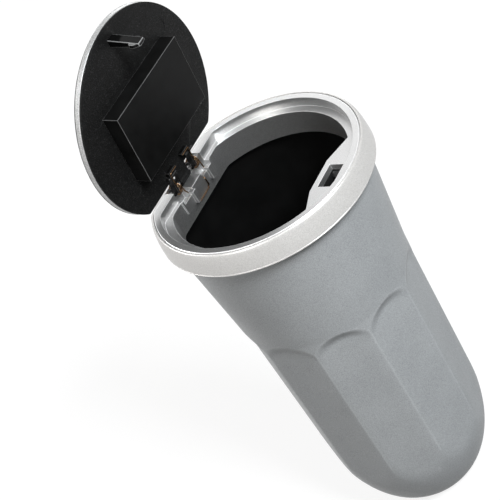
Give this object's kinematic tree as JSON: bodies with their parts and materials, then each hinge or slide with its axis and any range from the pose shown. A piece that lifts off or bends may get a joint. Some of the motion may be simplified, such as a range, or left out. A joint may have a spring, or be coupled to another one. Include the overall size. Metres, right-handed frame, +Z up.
{
  "type": "car trash bin",
  "caption": "Small tumbler-shaped car trash bin with a faceted silver can, a black-lined flip lid standing open on a sprung hinge, and a push latch behind a slot in the rim",
  "frame": {"origin": "centre of the base's flat face", "axes": "+X along the lid's hinge, +Y from the latch towards the hinge, +Z up"},
  "size_m": [0.0874, 0.0874, 0.2415],
  "materials": {
    "silver_paint": "metallic silver paint with a fine grain",
    "satin_silver": "satin silver paint",
    "satin_band": "satin champagne silver",
    "black_grain": "charcoal plastic with a sandy grain",
    "black_plastic": "smooth black plastic",
    "gloss_black": "glossy black plastic",
    "bright_steel": "plain steel wire and pins",
    "copper_wire": "copper-coloured spring wire"
  },
  "bodies": {
    "can": {"can_body": "silver_paint", "rim_collar": "satin_silver", "outer_band": "satin_band", "hinge_pin": "bright_steel", "lid_spring": "copper_wire", "latch_housing": "black_plastic", "latch_spring": "bright_steel", "latch_wire": "bright_steel", "latch_screws": "bright_steel"},
    "lid": {"lid_cap": "silver_paint", "lid_liner": "black_grain", "lid_box": "black_plastic", "liner_screws": "bright_steel", "hinge_arm_left": "black_plastic", "hinge_arm_right": "black_plastic", "rivet_left": "bright_steel", "rivet_right": "bright_steel", "striker": "gloss_black"},
    "latch_slider": {"latch_carriage": "black_plastic"}
  },
  "joints": [
    {"name": "lid_hinge", "type": "hinge", "parent": "can", "child": "lid", "pos_m": [0, 0.0345, 0.169], "axis": [-1, 0, 0], "range_deg": [-84.2, 0], "stiffness_Nm_per_rad": 0.02, "springref_deg": 28.65, "deforming": ["lid_spring"]},
    {"name": "latch_slide", "type": "slide", "parent": "can", "child": "latch_slider", "axis": [0, 0, 1], "range_m": [-0.003, 0], "stiffness_N_per_m": 200, "springref_m": 0.003, "deforming": ["latch_spring"]}
  ]
}
